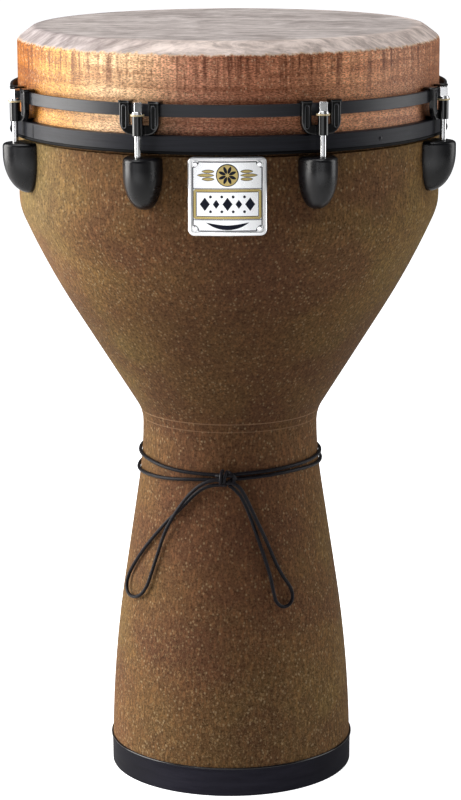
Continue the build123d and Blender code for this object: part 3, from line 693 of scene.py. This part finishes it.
KNOT_AZIMUTH = -2.6
KNOT_Z = 270.2
KNOT_RUNS = [
    [
        (-3.6, -5.2, 3.6), (-4.3, -4.9, 7.4), (-4.2, -1.5, 10.6),
        (-3.9, 2.2, 10.4), (-3.4, 5.2, 7.6), (-2.6, 5.4, 3.4),
    ],
    [
        (-0.6, -4.6, 3.6), (-1.4, -4.6, 7.0), (-1.2, -1.2, 10.2),
        (-0.6, 2.6, 9.8), (0.4, 4.8, 7.2), (0.8, 4.6, 3.2),
    ],
    [
        (-8.2, 1.4, 4.6), (-4.6, 1.8, 6.8), (0.2, 2.3, 7.4),
        (4.4, 2.9, 8.4), (7.2, 1.6, 7.6), (8.0, -0.8, 5.0),
    ],
    [
        (1.2, 4.6, 4.0), (3.6, 4.6, 7.2), (6.6, 2.2, 8.0), (7.0, -1.6, 7.4),
        (3.6, -3.6, 8.2), (0.0, -3.4, 7.6), (-2.2, -1.6, 5.0),
    ],
    [(-8.4, -1.8, 4.2), (-5.0, -2.6, 5.6), (0.0, -4.4, 5.6), (4.6, -4.8, 5.8), (7.8, -3.4, 4.6)],
]


def cord_knot():
    """The runs as one mesh."""
    parts = []
    for run in KNOT_RUNS:
        route = []
        for right, up, off in run:
            height = KNOT_Z + up
            sweep = right / ((skin_radius(height) + off) * radians(1))
            route.append((KNOT_AZIMUTH + sweep, height, off))
        line = centreline("knot_run", route)
        tube, length = braided_tube("knot_run", line, CORD_D / 2, BRAID)
        points = [v.co.copy() for v in tube.data.vertices]
        parts.append((points, [tuple(face.vertices) for face in tube.data.polygons]))
        bpy.data.objects.remove(tube)
    knot = mesh_object("bow_knot", *joined(parts), BRAID)
    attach(knot, "shell")
    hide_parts("cord_knot")
    return knot


knot = cord_knot()
waist_cord("cord_waist_upper", WAIST_UPPER, "waist_cord_upper")
waist_cord("cord_waist_lower", WAIST_LOWER, "waist_cord_lower")
waist_cord("cord_bow_left", LOOP_LEFT, "cord_loop_left")
waist_cord("cord_bow_right", LOOP_RIGHT, "cord_loop_right")


# ------------------------------------------------------------------------------------------------
# Badge relief, in mm: across and up from the plate's middle, and proud of its face.
# ------------------------------------------------------------------------------------------------

badge_low, badge_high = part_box("badge_plate")
BADGE_X = (badge_low[0] + badge_high[0]) / 2 / MM
BADGE_Z = (badge_low[2] + badge_high[2]) / 2 / MM
BADGE_HALF = (badge_high[0] - badge_low[0]) / 2 / MM
BADGE_FACE_R = -badge_low[1] / MM
RELIEF_SINK = -0.12
ROSETTE_AT = (0.0, 16.6)
PETALS = 8
PANEL_Y = -6.0
LOZENGE_GAP = 8.8


def on_badge(across, up, proud):
    x, r = BADGE_X + across, BADGE_FACE_R + proud
    return (x * MM, -sqrt(r * r - x * x) * MM, (BADGE_Z + up) * MM)


def strip(path, half_width, proud, chamfer=0.12):
    """A raised line along a closed path: loops outside, on top and inside."""
    normals = []
    for i in range(len(path)):
        before, after = Vector(path[i - 1]), Vector(path[(i + 1) % len(path)])
        run = (after - before).normalized()
        normals.append(Vector((run.y, -run.x)))
    section = (
        (half_width, RELIEF_SINK), (half_width, proud - chamfer), (half_width - chamfer, proud),
        (chamfer - half_width, proud), (-half_width, proud - chamfer), (-half_width, RELIEF_SINK),
    )
    loops = [
        [on_badge(*(Vector(p) + n * side), height) for p, n in zip(path, normals)]
        for side, height in section
    ]
    return lofted(loops, True)


def patch(outline, middle, proud, shrink=0.86):
    """A raised filled shape about a middle point, closed at the back."""
    mx, my = middle
    section = ((0.0, RELIEF_SINK), (1.0, RELIEF_SINK), (1.0, proud - 0.1), (shrink, proud), (0.0, proud))
    return lofted([
        [on_badge(mx + (x - mx) * share, my + (y - my) * share, height) for x, y in outline]
        for share, height in section
    ])


def rounded(half_x, half_y, radius, notch=False, steps=8):
    """A rectangle's outline with round corners, or with corners cut in by quarter circles."""
    points = []
    for sx, sy, start in ((1, -1, -90), (1, 1, 0), (-1, 1, 90), (-1, -1, 180)):
        for k in range(steps + 1):
            if notch:
                angle = radians(start - 90 - 90 * k / steps)
                cx, cy = sx * half_x, sy * half_y
            else:
                angle = radians(start + 90 * k / steps)
                cx, cy = sx * (half_x - radius), sy * (half_y - radius)
            points.append((cx + radius * cos(angle), cy + radius * sin(angle)))
    smooth = []
    for here, after in zip(points, points[1:] + points[:1]):
        gap = (Vector(after) - Vector(here)).length
        pieces = max(1, int(gap / 2.5))
        smooth += [tuple(Vector(here).lerp(Vector(after), k / pieces)) for k in range(pieces)]
    return smooth


def ellipse(middle, half_x, half_y, turn=0.0, steps=24, point=1.0):
    """An ellipse's outline; a point above 1 sharpens its long ends into a leaf."""
    points = []
    for k in range(steps):
        angle = 2 * pi * k / steps
        x = half_x * cos(angle)
        y = half_y * abs(sin(angle)) ** point * (1 if sin(angle) >= 0 else -1)
        turned_x, turned_y = x * cos(turn) - y * sin(turn), x * sin(turn) + y * cos(turn)
        points.append((middle[0] + turned_x, middle[1] + turned_y))
    return points


def band_outline(low_y, thickness, half_angle, radius, steps=20):
    """A bowed band, like a smile, as one closed outline."""
    outer, inner = [], []
    for k in range(steps + 1):
        angle = radians(-90 - half_angle + 2 * half_angle * k / steps)
        outer.append((radius * cos(angle), low_y + radius + radius * sin(angle)))
        share = 1 - abs(2 * k / steps - 1) ** 2.5
        inner.append((outer[-1][0], outer[-1][1] + 0.15 + thickness * share))
    return outer + inner[::-1]


def relief(name, parts, material):
    """Raised parts as one piece on the badge, welded where a patch closes to a point."""
    piece = mesh_object(name, *joined(parts), material, smooth=False)
    welded = bmesh.new()
    welded.from_mesh(piece.data)
    bmesh.ops.remove_doubles(welded, verts=welded.verts, dist=1e-6)
    bmesh.ops.recalc_face_normals(welded, faces=welded.faces)
    welded.to_mesh(piece.data)
    welded.free()
    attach(piece, "shell")


def badge_rim():
    """The plate's rolled edge: six loops of evenly spaced points, as (inset, proud)."""
    loops = []
    for inset, proud in ((0.1, -0.1), (0.1, 0.1), (0.7, 0.55), (2.3, 0.6), (3.0, 0.12), (3.0, -0.1)):
        half_x, half_y = BADGE_HALF - inset, BADGE_HALF + 0.2 - inset
        outline = rounded(half_x, half_y, max(1.2, 4.4 - inset), steps=6)
        pts = np.array(outline + outline[:1])
        run = running_length(pts)
        at = np.linspace(0, run[-1], 161)[:-1]
        xs, ys = np.interp(at, run, pts[:, 0]), np.interp(at, run, pts[:, 1])
        loops.append([on_badge(x, y, proud) for x, y in zip(xs, ys)])
    relief("badge_rim", [lofted(loops, True)], BADGE_SILVER)


def badge_lines():
    """Frames, rosette, tapered bars, lozenges and bowed band, in dark and gold."""
    def raised(part, dy):
        return [(x, y, z + dy * MM) for x, y, z in part[0]], part[1]

    ink = [strip(rounded(BADGE_HALF - 3.7, BADGE_HALF - 3.5, 4.3, notch=True), 0.46, 0.14)]
    for dy in (-12.1, 12.1):
        divider = strip(rounded(BADGE_HALF - 4.0, 0.26, 0.14, steps=2), 0.16, 0.12, chamfer=0.04)
        ink.append(raised(divider, PANEL_Y + dy))
    inner = strip(rounded(24.2, 9.5, 0.4, steps=2), 0.26, 0.14, chamfer=0.05)
    ink.append(raised(inner, PANEL_Y))
    gold = [raised(strip(rounded(25.4, 10.7, 0.5, steps=2), 0.9, 0.22), PANEL_Y)]
    # Upper zone: a rosette in a gold disc between tapered bars.
    mx, my = ROSETTE_AT
    ink.append(patch(ellipse(ROSETTE_AT, 8.9, 8.9, steps=40), ROSETTE_AT, 0.1, shrink=0.97))
    gold.append(patch(ellipse(ROSETTE_AT, 8.2, 8.2, steps=40), ROSETTE_AT, 0.2, shrink=0.95))
    for k in range(PETALS):
        turn = 2 * pi * (k + 0.5) / PETALS
        spot = (mx + 4.3 * cos(turn), my + 4.3 * sin(turn))
        ink.append(patch(ellipse(spot, 3.0, 1.25, turn, point=1.4), spot, 0.34))
    gold.append(patch(ellipse(ROSETTE_AT, 1.3, 1.3), ROSETTE_AT, 0.45))
    for sx in (-1, 1):
        for dy, length in ((3.0, 4.4), (0.0, 6.2), (-3.0, 4.4)):
            spot = (sx * (10.6 + length), my + dy)
            ink.append(patch(ellipse(spot, length + 0.5, 1.45, point=1.3), spot, 0.1))
            gold.append(patch(ellipse(spot, length, 1.0, point=1.3), spot, 0.24))
    # Panel: a row of lozenges with dots between them. Below it: a bowed band.
    for k in range(-2, 3):
        size = 3.9 if k % 2 == 0 else 2.6
        x, tall = k * LOZENGE_GAP, size * 1.35
        lozenge = [(x + size, PANEL_Y), (x, PANEL_Y + tall), (x - size, PANEL_Y), (x, PANEL_Y - tall)]
        ink.append(patch(lozenge, (x, PANEL_Y), 0.16))
        if k < 2:
            for dy in (-5.8, 5.8):
                dot = (x + LOZENGE_GAP / 2, PANEL_Y + dy)
                ink.append(patch(ellipse(dot, 1.1, 1.1, steps=12), dot, 0.14))
    ink.append(patch(band_outline(-26.2, 3.5, 38.0, 27.0), (0.0, -24.3), 0.14))
    relief("badge_ink_lines", ink, BADGE_INK)
    relief("badge_gold_lines", gold, BADGE_GOLD)


badge_rim()
badge_lines()


# ------------------------------------------------------------------------------------------------
# Hardware detail. Local coordinates at a lug are outward, along the hoop and up, in mm.
# ------------------------------------------------------------------------------------------------

LUG_ANGLES = [-112.1 + 45 * k for k in range(8)]
SEAM_ANGLE = -150.0
RIVET_ANGLE = -48.8
HOOP_R = 181.0
FORK_FRONT_R = 184.8
FORK_OFFSET = 12.4
CAP_HALF = 4.6
SLOT_Z = 580.3
SLOT_HALF = 7.3
SLOT_END_R = 1.75


def hardware(name, detail, body, material, angles=LUG_ANGLES):
    """One mesh holding a copy of a detail at each angle."""
    verts, faces = detail
    copies = []
    for angle in angles:
        c, s = cos(radians(angle)), sin(radians(angle))
        copies.append(([((x * c - y * s) * MM, (x * s + y * c) * MM, z * MM) for x, y, z in verts], faces))
    piece = mesh_object(name, *joined(copies), material)
    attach(piece, body)


def soft_block(low, high, radius, segments=3):
    """A block with rounded edges, as lists of points and faces."""
    block = bmesh.new()
    bmesh.ops.create_cube(block, size=1)
    for v in block.verts:
        v.co = Vector([l + (h - l) * (c + 0.5) for l, h, c in zip(low, high, v.co)])
    bmesh.ops.bevel(
        block, geom=block.edges[:], offset=radius, segments=segments, profile=0.5, affect="EDGES",
    )
    block.verts.ensure_lookup_table()
    verts = [tuple(v.co) for v in block.verts]
    faces = [tuple(v.index for v in face.verts) for face in block.faces]
    block.free()
    return verts, faces


def bead(path, radius, around=8):
    """A closed round bead along points in an upright plane facing outward."""
    outward = Vector((1, 0, 0))
    loops = []
    for i, here in enumerate(path):
        run = (Vector(path[(i + 1) % len(path)]) - Vector(path[i - 1])).normalized()
        side = run.cross(outward)
        angles = [2 * pi * k / around for k in range(around)]
        loops.append([tuple(Vector(here) + radius * (cos(a) * side + sin(a) * outward)) for a in angles])
    return lofted(loops, True)


def turned(profile, steps=192):
    """A closed (radius, height) outline in mm, turned about the drum's axis."""
    verts, faces = [], []
    for i in range(steps):
        angle = 2 * pi * i / steps
        verts += [(r * cos(angle) * MM, r * sin(angle) * MM, z * MM) for r, z in profile]
    count = len(profile)
    for i in range(steps):
        a, b = i * count, ((i + 1) % steps) * count
        for k in range(count):
            n = (k + 1) % count
            faces.append((a + k, b + k, b + n, a + n))
    return verts, faces


def bracket_details():
    """Caps over the forks, and a raised rim round the slot in each fork."""
    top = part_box("tension_hoop")[1][2] / MM
    caps, rims = [], []
    for sy in (-1, 1):
        middle = sy * (FORK_OFFSET + 0.05)
        caps.append(soft_block(
            (175.8, middle - CAP_HALF, top + 0.5), (FORK_FRONT_R + 0.7, middle + CAP_HALF, top + 2.5), 0.6,
        ))
        path = []
        for k in range(24):
            angle = 2 * pi * k / 24
            rise = SLOT_HALF if sin(angle) >= 0 else -SLOT_HALF
            across, up = SLOT_END_R * cos(angle), rise + SLOT_END_R * sin(angle)
            path.append((FORK_FRONT_R - 0.05, sy * FORK_OFFSET + across, SLOT_Z + up))
        rims.append(bead(path, 0.42))
    hardware("bracket_caps", joined(caps), "tuning_ring", GLOSS_BLACK)
    # The slot rims are in a lighter grey as a painted highlight.
    hardware("bracket_slot_rims", joined(rims), "tuning_ring", SLOT_RIM_HIGHLIGHT_GREY)


def hoop_details():
    """The lower band's rolled lip, its welded seam and a rivet."""
    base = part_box("flesh_hoop")[0][2] / MM
    profile = [
        (180.4, base - 0.15), (181.2, base - 0.1), (181.75, base + 0.35), (181.9, base + 1.1),
        (181.75, base + 1.9), (181.2, base + 2.3), (180.4, base + 2.35),
    ]
    # The lip is darker and duller than its band: painted shade where the band curls under.
    lip = mesh_object("flesh_hoop_lip", *turned(profile), SEAM_AND_SHADE_BLACK)
    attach(lip, "tuning_ring")
    seam = soft_block((180.6, -0.45, base + 2.6), (HOOP_R + 0.16, 0.45, base + 13.6), 0.12, 2)
    hardware("flesh_hoop_seam", seam, "tuning_ring", SEAM_AND_SHADE_BLACK, [SEAM_ANGLE])
    rivet = []
    for reach, proud in ((1.5, -0.2), (1.5, 0.25), (1.15, 0.65), (0.5, 0.85), (0.0, 0.88)):
        angles = [2 * pi * j / 16 for j in range(16)]
        rivet.append([(HOOP_R + proud, reach * cos(a), base + 7.0 + reach * sin(a)) for a in angles])
    hardware("flesh_hoop_rivet", lofted(rivet), "tuning_ring", BAND, [RIVET_ANGLE])


def foot_bead():
    """A rounded glossy edge on the rubber ring's lip."""
    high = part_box("foot_ring")[1]
    middle_r, middle_z = high[0] / MM - 0.5, high[2] / MM - 0.5
    angles = [2 * pi * k / 12 for k in range(12)]
    profile = [(middle_r + 0.6 * cos(a), middle_z + 0.6 * sin(a)) for a in angles]
    ring = mesh_object("foot_lip_bead", *turned(profile), GLOSS_BLACK)
    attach(ring, "shell")


bracket_details()
hoop_details()
foot_bead()


# ------------------------------------------------------------------------------------------------
# Studio
# ------------------------------------------------------------------------------------------------


def area_light(name, place, size, power, colour=(1, 1, 1)):
    """A rectangular light turned to the drum's middle."""
    data = bpy.data.lights.new(name, "AREA")
    data.shape = "RECTANGLE"
    data.size, data.size_y = size
    data.energy = power
    data.color = colour
    lamp = link(bpy.data.objects.new(name, data))
    lamp.location = place
    lamp.rotation_euler = (Vector((0, 0, 0.42)) - Vector(place)).to_track_quat("-Z", "Y").to_euler()


def floor():
    """White to the eye; in reflections only a stretch in front glows, dimmer to the right."""
    paper = Nodes("floor")
    paper.set(color=(0.8, 0.8, 0.8, 1), rough=0.9, specular=0.1)
    x, y, z = paper.axes()
    ahead = paper.spread(y, -0.9, -1.5, 0.0, 1.0, smooth=True)
    across = paper.spread(x, -0.1, 0.8, 1.0, 0.5, smooth=True)
    sides = paper.spread(paper.absolute(x), 1.0, 1.7, 1.0, 0.0, smooth=True)
    path = paper.add("ShaderNodeLightPath")
    glow = paper.times(ahead, sides, across, 1.45, path.outputs["Is Glossy Ray"])
    seen = paper.math("MAXIMUM", path.outputs["Is Camera Ray"], glow)
    paper.shader.inputs["Emission Color"].default_value = (0.97, 0.98, 1, 1)
    paper.join(paper.times(seen, 1.05), paper.shader.inputs["Emission Strength"])
    reach = 14.0
    corners = [(-reach, -reach, 0), (reach, -reach, 0), (reach, reach, 0), (-reach, reach, 0)]
    mesh_object("floor", corners, [(0, 1, 2, 3)], paper.material)


def surroundings():
    """A world that is white to the camera's eye and a faint light otherwise."""
    world = bpy.data.worlds.new("studio")
    scene.world = world
    world.use_nodes = True
    tree = world.node_tree
    background = tree.nodes["Background"]
    background.inputs["Color"].default_value = (1, 1, 1, 1)
    path = tree.nodes.new("ShaderNodeLightPath")
    choose = tree.nodes.new("ShaderNodeMapRange")
    choose.inputs["To Min"].default_value = 0.07
    choose.inputs["To Max"].default_value = 1.0
    tree.links.new(path.outputs["Is Camera Ray"], choose.inputs["Value"])
    tree.links.new(choose.outputs["Result"], background.inputs["Strength"])


def studio():
    scene.view_settings.view_transform = "Standard"
    scene.view_settings.look = "None"
    floor()
    surroundings()
    area_light("key_left", (-1.88, 0.05, 0.95), (1.7, 2.0), 80, (1.0, 0.98, 0.95))
    area_light("rim_right", (1.8, 0.1, 0.9), (1.2, 1.9), 19)
    area_light("glint_left", (-1.17, -1.87, 0.5), (0.16, 1.3), 2.2)
    area_light("top_front", (-0.4, -0.35, 2.5), (1.4, 1.0), 20)
    data = bpy.data.cameras.new("camera")
    data.lens = CAMERA_LENS
    data.sensor_width = 36.0
    data.clip_end = 60.0
    camera = link(bpy.data.objects.new("camera", data))
    camera.location = CAMERA_AT
    turn = Matrix.Rotation(CAMERA_PITCH, 3, "X") @ Matrix.Rotation(CAMERA_ROLL, 3, "Z")
    camera.rotation_euler = turn.to_euler()
    scene.camera = camera


studio()

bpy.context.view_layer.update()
